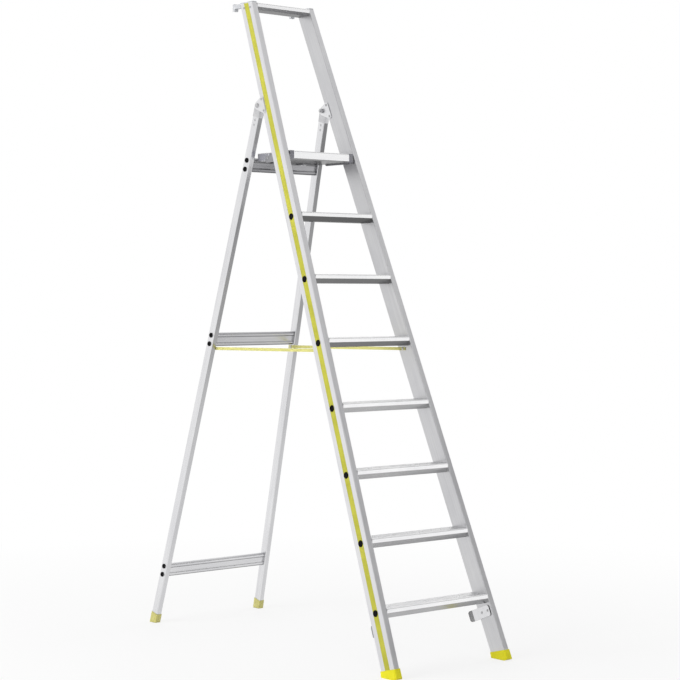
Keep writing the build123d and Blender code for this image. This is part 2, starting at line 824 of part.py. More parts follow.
# Platform: its rails taper so that they lie along the stiles when it is turned up between them
deck_top = pivot_drop
deck_bottom = pivot_drop - deck_thickness
front_edge = tread_setback - tread_depth / 2 - (tube_drop - deck_top) * tan(radians(front_lean))
bar_top = rear_point(0, crossbar_drops["upper"] - crossbar_spacing / 2, 0) - platform_pivot
bar_low = rear_point(0, crossbar_drops["upper"] + crossbar_spacing / 2, 0) - platform_pivot
deck_rear = bar_top.Y - crossbar_depth / 2 - deck_rear_gap
deck_depth = deck_rear - front_edge
deck_webs = [front_edge + deck_depth * web / deck_chambers for web in range(1, deck_chambers)]
platform_plane = cross_plane(platform_pivot)


def platform_space(depth):
    low, high = -step_rise, 2 * step_rise
    middle = platform_inner_x - rail_gap - depth
    return wedge(Plane(platform_pivot), middle - low * tan_splay, middle - high * tan_splay, low, high)


rail_outside = platform_space(0)
rail_inside = platform_space(rail_thickness)
deck_ports = [platform_pivot + Vector(0, web, 0) for web in deck_webs]
hook_rivets_y = [deck_rear - hook_rivet_margin - number * hook_rivet_pitch for number in range(2)]
hook_seats = [platform_pivot + Vector(hook_spacing / 2, y, deck_bottom - hook_plate) for y in hook_rivets_y]

with BuildPart() as platform_deck:
    with BuildSketch(platform_plane) as section:
        with BuildLine():
            Polyline(
                (front_edge, deck_top),
                (deck_rear, deck_top),
                (deck_rear, deck_bottom),
                (front_edge + tread_undercut, deck_bottom),
                (front_edge, deck_top - deck_front_face),
                close=True,
            )
        make_face()
        fillet(section.vertices().group_by(Axis.Y)[-1].sort_by(Axis.X)[0], tread_nose)
        offset(amount=-deck_wall, mode=Mode.SUBTRACT)
        with Locations(*[(web, (deck_top + deck_bottom) / 2) for web in deck_webs]):
            Rectangle(deck_wall, deck_thickness - 2 * groove_depth)
        with Locations(*[(web, 0) for web in deck_webs]):
            Circle(screw_radius + port_wall)
            Circle(screw_radius + rivet_fit, mode=Mode.SUBTRACT)
        deck_grooves = int((deck_depth - 2 * groove_margin) / groove_pitch) + 1
        with Locations(((front_edge + deck_rear) / 2, deck_top)):
            with GridLocations(groove_pitch, groove_pitch, deck_grooves, 1):
                Rectangle(groove_width, 2 * groove_depth, mode=Mode.SUBTRACT)
    extrude(amount=base_width, both=True)
    add(rail_inside, mode=Mode.INTERSECT)
    for side in (-1, 1):
        with BuildSketch(Plane((0, 0, platform_pivot.Z + deck_bottom))):
            with Locations(*[(side * seat.X, seat.Y) for seat in hook_seats]):
                Circle(rivet_radius + rivet_fit)
        extrude(amount=2 * deck_wall, mode=Mode.SUBTRACT)
finish("platform_deck", platform_deck)

with BuildPart() as platform_rail:
    with BuildSketch(platform_plane) as section:
        with Locations(((rail_reach - rail_lead) / 2, -rail_drop)):
            RectangleRounded(rail_lead + rail_reach, rail_height, rail_corner)
    extrude(amount=base_width)
    add(rail_outside, mode=Mode.INTERSECT)
    add(rail_inside, mode=Mode.SUBTRACT)
    cut_across([platform_pivot], pivot_radius + pivot_fit)
    cut_across(deck_ports, screw_radius + rivet_fit)
finish_pair("platform_rail", platform_rail)

with BuildPart() as platform_screws:
    for port, web in zip(deck_ports, deck_webs):
        head_x = platform_inner_x - rail_gap - web * tan_splay + screw_head / 2 * tan_splay
        add_rivet(
            cross_plane((head_x, port.Y, port.Z)),
            screw_radius,
            rail_thickness + screw_length,
            screw_head / 2,
            screw_head_height,
        )
    mirror(about=Plane.YZ)
finish("platform_screws", platform_screws)

# Hooks under the platform's rear edge that hold the upper crossbar
bar_reach = crossbar_depth / 2 + hook_clearance
lip_top = bar_top + rear_normal * (bar_reach + hook_thickness)
lip_end = lip_top + Vector(0, sin_rear, -cos_rear) * hook_lip
lip_inside = lip_end - rear_normal * (hook_thickness + hook_clearance)
bar_way_down = Vector(0, -sin(radians(hook_release_angle)), -cos(radians(hook_release_angle)))
bar_way = bar_top + bar_way_down * step_rise
with BuildPart() as platform_hook:
    with BuildSketch(cross_plane(platform_pivot + Vector(hook_spacing / 2, 0, 0))) as section:
        with BuildLine():
            Polyline(
                (deck_rear - hook_foot, deck_bottom),
                (deck_rear, deck_bottom),
                (deck_rear, deck_top - groove_depth),
                (bar_top.Y + crossbar_depth / 2, deck_top - groove_depth),
                (lip_top.Y, lip_top.Z),
                (lip_end.Y, lip_end.Z),
                (lip_inside.Y, lip_inside.Z),
                (bar_top.Y, bar_top.Z),
                (deck_rear + hook_plate, deck_bottom - hook_plate),
                (deck_rear - hook_foot, deck_bottom - hook_plate),
                close=True,
            )
        make_face()
        with BuildLine(mode=Mode.PRIVATE) as bar_path:
            CenterArc((bar_top.Y, bar_top.Z), bar_reach, 0, 360)
            CenterArc((bar_low.Y, bar_low.Z), bar_reach, 0, 360)
            CenterArc((bar_way.Y, bar_way.Z), bar_reach, 0, 360)
        make_hull(bar_path.edges(), mode=Mode.SUBTRACT)
    extrude(amount=hook_width / 2, both=True)
    with BuildSketch(Plane((0, 0, platform_pivot.Z + deck_bottom))):
        with Locations(*[(seat.X, seat.Y) for seat in hook_seats]):
            Circle(rivet_radius + rivet_fit)
    extrude(amount=-2 * hook_plate, mode=Mode.SUBTRACT)
finish_pair("platform_hook", platform_hook)

with BuildPart() as hook_rivets:
    for seat in hook_seats:
        add_rivet(
            Plane(seat, x_dir=(1, 0, 0), z_dir=(0, 0, -1)),
            rivet_radius,
            hook_plate + 2 * deck_wall,
            rivet_head / 2,
            rivet_head_height,
        )
    mirror(about=Plane.YZ)
finish("hook_rivets", hook_rivets)

# Platform pivots: bolts from inside the deck, through its rails and a washer, into the stiles' walls
rail_inner_x = platform_inner_x - rail_gap - rail_thickness
pivot_head_seat = rail_inner_x - pivot_head_diameter / 2 * tan_splay - pivot_slack
pivot_nut_seat = platform_inner_x + stile_wall / cos_splay + nut_radius * tan_splay
with BuildPart() as platform_pivot_bolts:
    with BuildSketch(cross_plane((pivot_head_seat, platform_pivot.Y, platform_pivot.Z))):
        Circle(pivot_head_diameter / 2)
    extrude(amount=-pivot_head_height)
    with BuildSketch(cross_plane((pivot_head_seat, platform_pivot.Y, platform_pivot.Z))):
        Circle(pivot_radius)
    extrude(amount=pivot_nut_seat - pivot_head_seat + nut_height)
    mirror(about=Plane.YZ)
finish("platform_pivot_bolts", platform_pivot_bolts)

with BuildPart() as platform_pivot_nuts:
    with BuildSketch(cross_plane((pivot_nut_seat, platform_pivot.Y, platform_pivot.Z))):
        RegularPolygon(nut_across_flats / 2, 6, major_radius=False)
        Circle(pivot_radius + pivot_fit, mode=Mode.SUBTRACT)
    extrude(amount=nut_height)
    mirror(about=Plane.YZ)
finish("platform_pivot_nuts", platform_pivot_nuts)

with BuildPart() as platform_washers:
    with BuildSketch(facing_in(stile_side(platform_slope, 0, -stile_width))):
        Circle(washer_diameter / 2)
    extrude(amount=washer_thickness)
    cut_across([platform_pivot], pivot_radius + pivot_fit)
    mirror(about=Plane.YZ)
finish("platform_washers", platform_washers)

# Spreader straps: webbing between the inner faces of the stiles and legs, held by a screw at each end
strap_front = stile_side(strap_front_slope, strap_front_offset, -stile_width)
strap_rear = leg_side(strap_rear_drop, 0, -leg_width)
strap_run = strap_rear.origin - strap_front.origin
strap_middle = (strap_front.origin + strap_rear.origin) * 0.5
strap_face = Vector(cos_splay, 0, sin_splay)
strap_plane = Plane(
    strap_middle - strap_face * strap_clearance,
    x_dir=strap_run,
    z_dir=strap_run.cross(strap_face).cross(strap_run),
)
with BuildPart() as strap:
    with BuildSketch(strap_plane):
        RectangleRounded(strap_run.length + 2 * strap_end, strap_width, strap_corner)
        with Locations((-strap_run.length / 2, 0), (strap_run.length / 2, 0)):
            Circle(screw_radius + strap_clearance, mode=Mode.SUBTRACT)
    extrude(amount=-strap_thickness)
finish_pair("strap", strap)

strap_stack = strap_thickness + 2 * strap_clearance
for name, end, wall in (("front", strap_front, stile_wall), ("rear", strap_rear, leg_wall)):
    inward = facing_in(end)
    with BuildPart() as strap_screws:
        add_rivet(
            inward.offset(strap_stack),
            screw_radius,
            strap_stack + 2 * wall,
            strap_screw_head / 2,
            screw_head_height,
        )
        mirror(about=Plane.YZ)
    finish(f"{name}_strap_screws", strap_screws)
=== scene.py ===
import json
import math

import bmesh
import bpy
import numpy as np
from mathutils import Matrix, Vector


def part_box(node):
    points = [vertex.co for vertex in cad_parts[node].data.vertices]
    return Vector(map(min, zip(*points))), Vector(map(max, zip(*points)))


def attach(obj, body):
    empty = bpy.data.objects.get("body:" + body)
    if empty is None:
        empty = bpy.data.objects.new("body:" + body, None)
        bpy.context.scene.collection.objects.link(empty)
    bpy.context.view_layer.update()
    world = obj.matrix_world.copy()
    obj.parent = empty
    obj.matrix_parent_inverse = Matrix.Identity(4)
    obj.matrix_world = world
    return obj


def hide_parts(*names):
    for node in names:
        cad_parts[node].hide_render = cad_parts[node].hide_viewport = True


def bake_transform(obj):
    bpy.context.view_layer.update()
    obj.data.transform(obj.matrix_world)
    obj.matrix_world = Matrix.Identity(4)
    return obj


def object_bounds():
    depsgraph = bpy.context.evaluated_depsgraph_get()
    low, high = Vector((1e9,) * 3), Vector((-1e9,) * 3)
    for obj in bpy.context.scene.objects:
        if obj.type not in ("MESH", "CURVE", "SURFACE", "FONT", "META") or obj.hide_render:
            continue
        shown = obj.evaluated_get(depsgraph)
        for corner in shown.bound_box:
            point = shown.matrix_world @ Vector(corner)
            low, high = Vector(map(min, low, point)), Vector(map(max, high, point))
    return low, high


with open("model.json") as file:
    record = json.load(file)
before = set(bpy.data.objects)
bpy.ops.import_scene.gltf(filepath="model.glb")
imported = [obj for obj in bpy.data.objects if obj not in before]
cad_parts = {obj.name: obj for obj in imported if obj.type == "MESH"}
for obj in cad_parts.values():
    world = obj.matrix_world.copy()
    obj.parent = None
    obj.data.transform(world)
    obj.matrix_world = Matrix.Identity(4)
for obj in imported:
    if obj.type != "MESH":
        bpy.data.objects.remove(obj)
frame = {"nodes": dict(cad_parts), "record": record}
cadLow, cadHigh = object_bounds()
nodes = frame["nodes"]
record = frame["record"]
print("frame loaded with", len(nodes), "nodes")

# Reading places from the frame

reading = {
    "sameSpot": 1e-6,  # metres between points that count as one
    "upright": 0.1,  # a run that climbs by more than this share points up
}


def pointsOf(node):
    return np.array([v.co for v in nodes[node].data.vertices], float)


def mainAxes(points):  # middle, spreads and directions, from the longest to the shortest
    middle = points.mean(0)
    spreads, directions = np.linalg.svd(points - middle, full_matrices=False)[1:]
    return Vector(middle), spreads, [Vector(d) for d in directions]


def runOf(node):  # direction of a long extrusion, pointing up or to +X
    run = mainAxes(pointsOf(node))[2][0]
    lead = run.z if abs(run.z) > reading["upright"] else run.x
    return run if lead > 0 else -run


def islandsOf(node):  # point lists of the separate solids in a node
    mesh = bmesh.new()
    mesh.from_mesh(nodes[node].data)
    bmesh.ops.remove_doubles(mesh, verts=mesh.verts, dist=reading["sameSpot"])
    seen, islands = set(), []
    for start in mesh.verts:
        if start in seen:
            continue
        seen.add(start)
        stack, island = [start], []
        while stack:
            vert = stack.pop()
            island.append(tuple(vert.co))
            for edge in vert.link_edges:
                other = edge.other_vert(vert)
                if other not in seen:
                    seen.add(other)
                    stack.append(other)
        islands.append(np.array(island))
    mesh.free()
    return islands


# Small helpers for shader nodes

shading = {
    "noiseRoughness": 0.6,
    "edgeSamples": 4,
    "edgeTurn": 0.72,  # how little the softened and the plain normal agree where an edge is full
}


def grey(tone):
    return (tone, tone, tone)


def put(tree, kind, **sockets):
    node = tree.nodes.new(kind)
    for name, value in sockets.items():
        node.inputs[name.replace("_", " ")].default_value = value
    return node


def outputOf(source):  # a node's main output, or the socket itself
    if not hasattr(source, "outputs"):
        return source
    if source.bl_idname == "ShaderNodeMix":
        return next(s for s in source.outputs if s.type == "RGBA")
    return source.outputs[0]


def wire(tree, source, target, socket=0):
    tree.links.new(outputOf(source), target.inputs[socket])
    return target


def newFinish(name, **sockets):
    material = bpy.data.materials.new(name)
    material.use_nodes = True
    shader = material.node_tree.nodes["Principled BSDF"]
    for socket, value in sockets.items():
        shader.inputs[socket.replace("_", " ")].default_value = value
    return material, material.node_tree, shader


def ramp(tree, source, stops):  # stops are pairs of place and colour
    node = tree.nodes.new("ShaderNodeValToRGB")
    elements = node.color_ramp.elements
    while len(elements) < len(stops):
        elements.new(0.5)
    for element, (place, colour) in zip(elements, stops):
        element.position = place
        element.color = (*colour, 1.0)
    return wire(tree, source, node)


def between(tree, source, places, dark, light):  # a ramp of two colours
    return ramp(tree, source, list(zip(places, (dark, light))))


def spread(tree, source, low, high, start=0.0, end=1.0):  # start to end onto low to high
    node = put(tree, "ShaderNodeMapRange", From_Min=start, From_Max=end, To_Min=low, To_Max=high)
    return wire(tree, source, node)


def bumpFrom(tree, source, strength, distance, shader):
    node = put(tree, "ShaderNodeBump", Strength=strength, Distance=distance)
    wire(tree, source, node, "Height")
    wire(tree, node, shader, "Normal")


def arithmetic(tree, operation, first, second=None):  # each is a node, a socket or a number
    node = tree.nodes.new("ShaderNodeMath")
    node.operation = operation
    for place, value in enumerate((first, second)):
        if isinstance(value, (int, float)):
            node.inputs[place].default_value = value
        elif value is not None:
            wire(tree, value, node, place)
    return node


def coordinates(tree, kind):
    return tree.nodes.new("ShaderNodeTexCoord").outputs[kind]


def turned(tree, source, rotation):
    node = tree.nodes.new("ShaderNodeVectorRotate")
    node.rotation_type = "EULER_XYZ"
    node.inputs["Rotation"].default_value = rotation
    return wire(tree, source, node, "Vector")


def objectPoints(tree, scale=(1, 1, 1), along=None):  # places in the shared frame, turned so that along is z
    source = coordinates(tree, "Object")
    if along is not None:
        source = turned(tree, source, along.rotation_difference(Vector((0, 0, 1))).to_euler())
    size = tree.nodes.new("ShaderNodeVectorMath")
    size.operation = "MULTIPLY"
    size.inputs[1].default_value = scale
    return wire(tree, source, size)


def noise(tree, scale, detail=4.0, stretch=(1, 1, 1), along=None):
    node = put(tree, "ShaderNodeTexNoise", Scale=scale, Detail=detail, Roughness=shading["noiseRoughness"])
    return wire(tree, objectPoints(tree, stretch, along), node)


def edgeMask(tree, radius):  # 1 along edges, 0 on flat faces
    soft = put(tree, "ShaderNodeBevel", Radius=radius)
    soft.samples = shading["edgeSamples"]
    plain = tree.nodes.new("ShaderNodeNewGeometry").outputs["Normal"]
    agree = tree.nodes.new("ShaderNodeVectorMath")
    agree.operation = "DOT_PRODUCT"
    wire(tree, soft, agree)
    wire(tree, plain, agree, 1)
    return spread(tree, agree.outputs["Value"], 0.0, 1.0, 1.0, shading["edgeTurn"])


def mixColours(tree, share, first, second, blend="MIX"):  # each is a node or a value
    node = tree.nodes.new("ShaderNodeMix")
    node.data_type = "RGBA"
    node.blend_type = blend
    for name, value in (("Factor", share), ("A", first), ("B", second)):
        socket = next(s for s in node.inputs if s.name == name and (s.type == "RGBA" or name == "Factor"))
        if hasattr(value, "outputs"):
            tree.links.new(outputOf(value), socket)
        else:
            socket.default_value = value
    return node


# Extruded aluminium

extrusion = {
    "dieLines": 620.0,  # lines per metre, about
    "dieLength": 2.5,
    "dieDetail": 3.0,
    "diePlaces": (0.30, 0.68),  # noise levels of the dark and the light tone
    "lineBump": 0.35,
    "lineDepth": 0.00006,
    "clouds": 9.0,
    "cloudDetail": 5.0,
    "cloudStretch": (1, 1, 0.45),
    "cloudPlaces": (0.32, 0.66),
    "cloudDark": (0.90, 0.90, 0.91),
    "edgeWidth": 0.0012,
    "recessShadeReach": 0.014,  # how far apart the sides of a recess may be for it to get painted shade
    "recessShadePlaces": (0.35, 0.85),
}
satin = (0.22, 0.34)  # lowest and highest roughness
extrusionLooks = {
    "stile": {"dark": (0.75, 0.75, 0.765), "light": (0.89, 0.89, 0.90), "edge": 0.70, "rough": (0.26, 0.40)},
    "leg": {"dark": (0.73, 0.73, 0.745), "light": (0.87, 0.87, 0.88), "edge": 0.90, "rough": satin},
    "tread": {"dark": (0.93, 0.93, 0.935), "light": (0.99, 0.99, 0.99), "edge": 0.97, "rough": (0.19, 0.29)},
    # the guide's dark edge tone is a painted shadow outline
    "guide": {"dark": (0.76, 0.76, 0.77), "light": (0.88, 0.88, 0.89), "edge": 0.25, "rough": satin},
    # the three crossbars share one finish; their different tones are painted shade, darker the higher the
    # bar
    "lowerBar": {
        "dark": (0.66, 0.66, 0.675), "light": (0.80, 0.80, 0.81),
        "edge": 0.75, "rough": satin, "recessShade": 0.55,
    },
    "middleBar": {
        "dark": (0.50, 0.50, 0.515), "light": (0.62, 0.62, 0.63),
        "edge": 0.6, "rough": satin, "recessShade": 0.45,
    },
    "upperBar": {
        "dark": (0.34, 0.34, 0.355), "light": (0.44, 0.44, 0.45),
        "edge": 0.5, "rough": satin, "recessShade": 0.35,
    },
}
extrusionShades = {  # painted shade: how far a face looks along an axis, and the tone painted there
    "tread": ("-Z", [(0.15, 1.0), (0.42, 0.0)]),  # undersides get painted shade, which then takes its tones by height
    # painted shade on the crossbars' undersides
    "bar": ("-Z", [(0.35, 1.0), (0.80, 0.45)]),
    "rightStile": ("-X", [(0.80, 1.0), (0.97, 0.80)]),  # painted shade on a stile's inner face
    "leftStile": ("+X", [(0.80, 1.0), (0.97, 0.80)]),
    "leg": ("-Y", [(0.80, 1.0), (0.94, 0.0)]),  # painted shade on the fronts, darker towards the top, which then takes its tones by height
    "guide": ("X", [(0.80, 0.12), (0.97, 1.0)]),  # painted shade on its bent tip and its edges
}
extrusionTones = {  # height in metres and the tone of the painted shade there, for the faces that a shade picks out
    "tread": [
        (0.98, 0.54), (1.15, 0.24), (1.50, 0.22), (1.63, 0.15), (1.73, 0.15), (1.80, 0.46), (2.6, 0.46),
    ],
    "leftLeg": [
        (0.2, 0.86), (0.5, 0.80), (0.9, 0.70), (1.25, 0.47), (1.70, 0.48), (1.92, 0.95), (2.02, 0.42),
    ],
    "rightLeg": [
        (0.2, 0.86), (0.5, 0.80), (1.0, 0.76), (1.25, 0.47), (1.77, 0.37), (1.92, 0.28), (2.02, 0.30),
    ],
}


def facingTone(tree, axis, stops):  # painted shade by how far a face looks along an axis, either way without a sign
    split = wire(tree, coordinates(tree, "Normal"), tree.nodes.new("ShaderNodeSeparateXYZ"))
    share = split.outputs[axis[-1]]
    if axis[0] == "-":
        share = arithmetic(tree, "MULTIPLY", share, -1.0)
    elif axis[0] != "+":
        share = arithmetic(tree, "ABSOLUTE", share)
    return ramp(tree, share, [(place, grey(tone)) for place, tone in stops])


def heightTone(tree, stops):  # painted shade by height above the floor
    split = wire(tree, coordinates(tree, "Object"), tree.nodes.new("ShaderNodeSeparateXYZ"))
    tall = stops[-1][0]
    share = spread(tree, split.outputs["Z"], 0.0, 1.0, 0.0, tall)
    return ramp(tree, share, [(height / tall, grey(tone)) for height, tone in stops])


def extrudedFinish(name, along, kind, shade=None, tones=None):  # mill finish, die lines along the extrusion, with painted shade by facing, by height and in recesses
    material, tree, shader = newFinish(name, Metallic=1.0)
    look = extrusionLooks[kind]
    fine = (extrusion["dieLines"], extrusion["dieLines"], extrusion["dieLength"])
    lines = noise(tree, 1.0, extrusion["dieDetail"], fine, along)
    clouds = noise(tree, extrusion["clouds"], extrusion["cloudDetail"], extrusion["cloudStretch"], along)
    lineTone = between(tree, lines, extrusion["diePlaces"], look["dark"], look["light"])
    cloudTone = between(tree, clouds, extrusion["cloudPlaces"], extrusion["cloudDark"], grey(1))
    base = mixColours(tree, 1.0, lineTone, cloudTone, "MULTIPLY")
    # edges take the look's edge tone; on the guide it is a painted shadow outline
    edgedAndShaded = mixColours(tree, edgeMask(tree, extrusion["edgeWidth"]), base, (*grey(look["edge"]), 1))
    # painted shade, which also dims the grazing reflection through the specular tint
    if shade:
        paintedShade = facingTone(tree, *extrusionShades[shade])
        if tones:
            paintedShade = mixColours(tree, 1.0, paintedShade, heightTone(tree, extrusionTones[tones]), "LIGHTEN")
        edgedAndShaded = mixColours(tree, 1.0, edgedAndShaded, paintedShade, "MULTIPLY")
        wire(tree, paintedShade, shader, "Specular Tint")
    # painted shade in recesses, from ambient occlusion
    if "recessShade" in look:
        recess = put(tree, "ShaderNodeAmbientOcclusion", Distance=extrusion["recessShadeReach"]).outputs["AO"]
        paintedRecessShade = between(tree, recess, extrusion["recessShadePlaces"], grey(look["recessShade"]), grey(1))
        edgedAndShaded = mixColours(tree, 1.0, edgedAndShaded, paintedRecessShade, "MULTIPLY")
    wire(tree, edgedAndShaded, shader, "Base Color")
    wire(tree, spread(tree, clouds, *look["rough"]), shader, "Roughness")
    bumpFrom(tree, lines, extrusion["lineBump"], extrusion["lineDepth"], shader)
    return material


# Cast aluminium and plated steel

castings = {
    "clouds": 40.0,
    "places": (0.3, 0.7),
    "grain": 900.0,
    "bump": 0.4,
    "depth": 0.00012,
    "rough": 0.45,
    "edgeWidth": 0.001,
    "edgeShare": 0.5,
    "edge": (0.85, 0.85, 0.86, 1),
    "platform": {"dark": (0.30, 0.30, 0.315), "light": (0.42, 0.42, 0.435)},
    "knuckle": {"dark": (0.60, 0.60, 0.615), "light": (0.72, 0.72, 0.73)},
}


def castFinish(name, kind):  # die-cast pieces: fine grain and no direction
    material, tree, shader = newFinish(name, Metallic=1.0, Roughness=castings["rough"])
    look = castings[kind]
    tone = between(tree, noise(tree, castings["clouds"]), castings["places"], look["dark"], look["light"])
    edges = spread(tree, edgeMask(tree, castings["edgeWidth"]), 0.0, castings["edgeShare"])
    wire(tree, mixColours(tree, edges, tone, castings["edge"]), shader, "Base Color")
    bumpFrom(tree, noise(tree, castings["grain"]), castings["bump"], castings["depth"], shader)
    return material


steel = {
    "dark": (0.45, 0.45, 0.46),
    "light": (0.66, 0.66, 0.67),
    "rough": (0.22, 0.40),
    "spangles": 700.0,
    "clouds": 180.0,
    "cloudDetail": 5.0,
    "places": (0.3, 0.7),
    "bump": 0.2,
    "depth": 0.0001,
}


def steelFinish(name):  # zinc-plated fasteners with small spangles
    material, tree, shader = newFinish(name, Metallic=1.0)
    spangles = wire(tree, objectPoints(tree), put(tree, "ShaderNodeTexVoronoi", Scale=steel["spangles"]))
    clouds = noise(tree, steel["clouds"], steel["cloudDetail"])
    tone = between(tree, clouds, steel["places"], steel["dark"], steel["light"])
    wire(tree, tone, shader, "Base Color")
    wire(tree, spread(tree, spangles, *steel["rough"]), shader, "Roughness")
    bumpFrom(tree, clouds, steel["bump"], steel["depth"], shader)
    return material


# Moulded plastics

moulding = {
    "grainDetail": 3.0,
    "bump": 0.25,
    "depth": 0.00015,
    "drift": 14.0,  # slight changes of colour per metre, about
    "driftPlaces": (0.32, 0.68),
    "scuffWidth": 0.0012,
    "scuffShare": 0.55,
    "scuffGain": 1.25,  # a scuffed edge is paler by this factor, and then by the lift
    "scuffLift": 0.02,
}
plastics = {
    "stripe": {
        "dark": (0.42, 0.41, 0.03), "light": (0.54, 0.52, 0.05),
        "rough": (0.30, 0.46), "gloss": 0.4, "grain": 500.0,
    },
    "frontFoot": {
        "dark": (0.74, 0.68, 0.006), "light": (0.86, 0.80, 0.012),
        "rough": (0.42, 0.60), "gloss": 0.4, "grain": 700.0,
    },
    "rearFoot": {
        "dark": (0.56, 0.52, 0.16), "light": (0.70, 0.66, 0.26),
        "rough": (0.45, 0.62), "gloss": 0.4, "grain": 700.0,
    },
    "plug": {
        "dark": (0.003, 0.003, 0.003), "light": (0.008, 0.008, 0.009),
        "rough": (0.55, 0.70), "gloss": 0.06, "grain": 900.0,
    },
    "deckCap": {
        "dark": (0.24, 0.24, 0.27), "light": (0.33, 0.33, 0.36),
        "rough": (0.42, 0.58), "gloss": 0.4, "grain": 800.0,
    },
    "cap": {
        "dark": (0.50, 0.51, 0.53), "light": (0.62, 0.63, 0.65),
        "rough": (0.42, 0.58), "gloss": 0.4, "grain": 800.0,
    },
}


def mouldedFinish(name, kind):  # fine moulded grain, slight colour drift and paler scuffed edges
    look = plastics[kind]
    material, tree, shader = newFinish(name, Specular_IOR_Level=look["gloss"])
    grain = noise(tree, look["grain"], moulding["grainDetail"])
    drift = noise(tree, moulding["drift"])
    tone = between(tree, drift, moulding["driftPlaces"], look["dark"], look["light"])
    scuffed = [min(1.0, c * moulding["scuffGain"] + moulding["scuffLift"]) for c in look["light"]]
    edges = spread(tree, edgeMask(tree, moulding["scuffWidth"]), 0.0, moulding["scuffShare"])
    wire(tree, mixColours(tree, edges, tone, (*scuffed, 1)), shader, "Base Color")
    wire(tree, spread(tree, grain, *look["rough"]), shader, "Roughness")
    bumpFrom(tree, grain, moulding["bump"], moulding["depth"], shader)
    return material


# Which finish goes on which node

sideways = Vector((1, 0, 0))
stileRun = runOf("right_front_stile")
finishes = {  # after the name: the run of an extrusion, and the keys of its look, shade and tones
    "rightStile": extrudedFinish("right stile aluminium", stileRun, "stile", "rightStile"),
    "leftStile": extrudedFinish("left stile aluminium", runOf("left_front_stile"), "stile", "leftStile"),
    "plate": extrudedFinish("plate aluminium", stileRun, "stile"),
    "guide": extrudedFinish("guide aluminium", stileRun, "guide", "guide"),
    "rightLeg": extrudedFinish("right leg aluminium", runOf("right_rear_leg"), "leg", "leg", "rightLeg"),
    "leftLeg": extrudedFinish("left leg aluminium", runOf("left_rear_leg"), "leg", "leg", "leftLeg"),
    "tread": extrudedFinish("tread aluminium", sideways, "tread", "tread", "tread"),
    # the crossbars differ only by painted shade
    "lowerBar": extrudedFinish("lower crossbar aluminium", sideways, "lowerBar", "bar"),
    "middleBar": extrudedFinish("middle crossbar aluminium", sideways, "middleBar", "bar"),
    "upperBar": extrudedFinish("upper crossbar aluminium", sideways, "upperBar", "bar"),
    "platformCast": castFinish("platform casting", "platform"),
    "knuckleCast": castFinish("knuckle casting", "knuckle"),
    "steel": steelFinish("plated steel"),
    "stripe": mouldedFinish("stripe yellow", "stripe"),
    "frontFoot": mouldedFinish("front foot yellow", "frontFoot"),
    "rearFoot": mouldedFinish("rear foot yellow", "rearFoot"),
    "plug": mouldedFinish("plug black", "plug"),
    "cap": mouldedFinish("cap grey", "cap"),
    "deckCap": mouldedFinish("deck cap grey", "deckCap"),
}
finishKeys = {  # the first key that a node's name holds decides
    "rivets": "steel",
    "screws": "steel",
    "bolt": "steel",
    "nuts": "steel",
    "washers": "steel",
    "right_front_stile": "rightStile",
    "left_front_stile": "leftStile",
    "plate": "plate",
    "guide": "guide",
    "right_rear_leg": "rightLeg",
    "left_rear_leg": "leftLeg",
    "stripe": "stripe",
    "plugs": "plug",
    "front_foot": "frontFoot",
    "rear_foot": "rearFoot",
    "top_cap": "cap",
    "platform_rail": "platformCast",
    "knuckle": "knuckleCast",
    "hook": "platformCast",
    "tread_": "tread",
    "top_rail": "tread",
    "deck": "tread",
    "lower_": "lowerBar",
    "middle_": "middleBar",
    "upper_": "upperBar",
}


def finishFor(node):
    return finishes[next((finish for key, finish in finishKeys.items() if key in node), "steel")]


for name, node in nodes.items():
    node.data.materials.clear()
    node.data.materials.append(finishFor(name))
print("finishes set on", len(nodes), "nodes")

# Moulded pieces get soft edges

softEdges = {"width": 0.0022, "steps": 3, "angle": math.radians(40), "weld": 0.00001}

for name, node in nodes.items():
    if name.endswith("_foot") or name.endswith("_top_cap"):
        weld = node.modifiers.new("closed", "WELD")
        weld.merge_threshold = softEdges["weld"]
        bevel = node.modifiers.new("soft edges", "BEVEL")
        bevel.width = softEdges["width"]
        bevel.segments = softEdges["steps"]
        bevel.limit_method = "ANGLE"
        bevel.angle_limit = softEdges["angle"]
        bevel.harden_normals = True
print("edges softened")

# Pieces made here: some take the place of plainer CAD nodes

sharpAngle = math.radians(38)  # faces that meet at more than this keep a crisp edge


def newPiece(name, mesh, material, node=None):
    bmesh.ops.recalc_face_normals(mesh, faces=mesh.faces)
    data = bpy.data.meshes.new(name)
    mesh.to_mesh(data)
    mesh.free()
    data.shade_smooth()
    data.set_sharp_from_angle(angle=sharpAngle)
    data.materials.append(material)
    piece = bpy.data.objects.new(name, data)
    bpy.context.scene.collection.objects.link(piece)
    if node:
        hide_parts(node)
    return piece


def rideWithNode(piece, node):
    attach(piece, next(b for b, members in record["behaviour"]["bodies"].items() if node in members))


def bridge(mesh, ring, other):  # faces between two rings of as many points
    count = len(ring)
    for i in range(count):
        j = (i + 1) % count
        mesh.faces.new((ring[i], ring[j], other[j], other[i]))


# Turned fasteners: rings of (radius, height, sides), round where sides is 0

